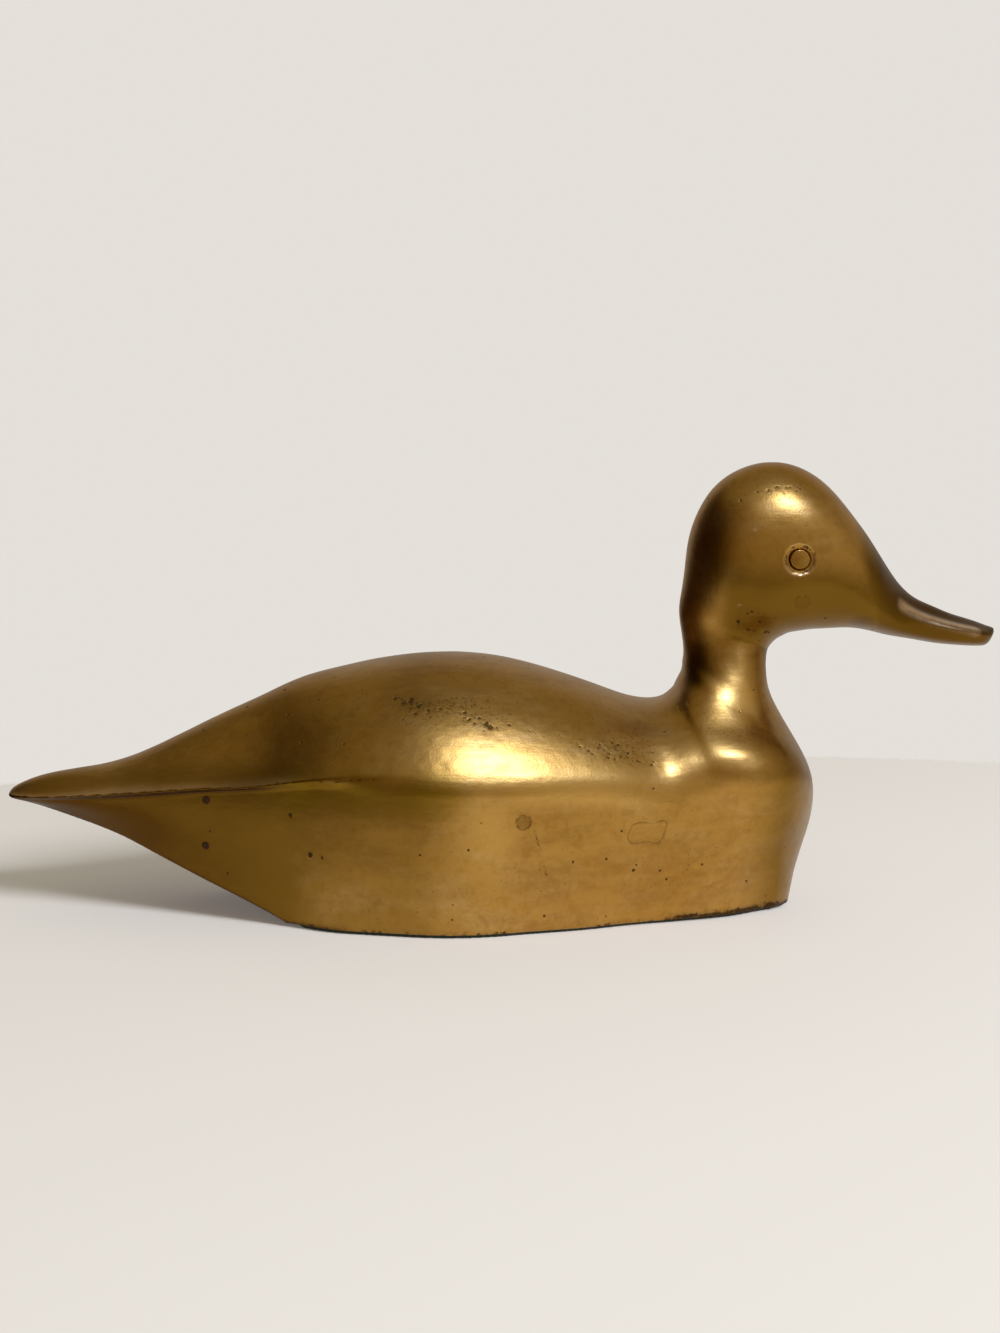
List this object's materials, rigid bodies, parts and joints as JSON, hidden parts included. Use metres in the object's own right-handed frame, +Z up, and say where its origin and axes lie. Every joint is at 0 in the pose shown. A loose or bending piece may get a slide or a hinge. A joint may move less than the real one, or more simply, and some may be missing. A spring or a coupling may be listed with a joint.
{
  "type": "duck figurine",
  "caption": "Hollow cast brass duck with a raised head, a flat bill and a flat pointed tail, standing on its own felted base.",
  "frame": {"origin": "on the ground, under the middle of the duck's length", "axes": "+X towards the bill, +Y towards the duck's left, +Z up"},
  "size_m": [0.28, 0.0912, 0.1265],
  "materials": {
    "body_brass": "old cast brass, worn smooth, with brown and olive tarnish, pits and fine scratches",
    "head_brass": "old cast brass, worn smooth, with brown tarnish and fine pits",
    "braze_brass": "brazing metal filed flush and tarnished",
    "eye_brass": "satin, domed, tarnished",
    "plug_brass": "filed flush and tarnished",
    "pin_iron": "dark rusted iron wire, cut flush",
    "patch_brass": "let in flush, with a darker outline",
    "felt": "thin dark green felt"
  },
  "bodies": {
    "root": {"body_casting": "body_brass", "head_casting": "head_brass", "neck_braze_ring": "braze_brass", "left_eye_stud": "eye_brass", "right_eye_stud": "eye_brass", "body_core_plugs": "plug_brass", "cheek_core_plugs": "plug_brass", "tail_core_pins": "pin_iron", "flank_patch": "patch_brass", "base_felt": "felt"}
  },
  "joints": []
}
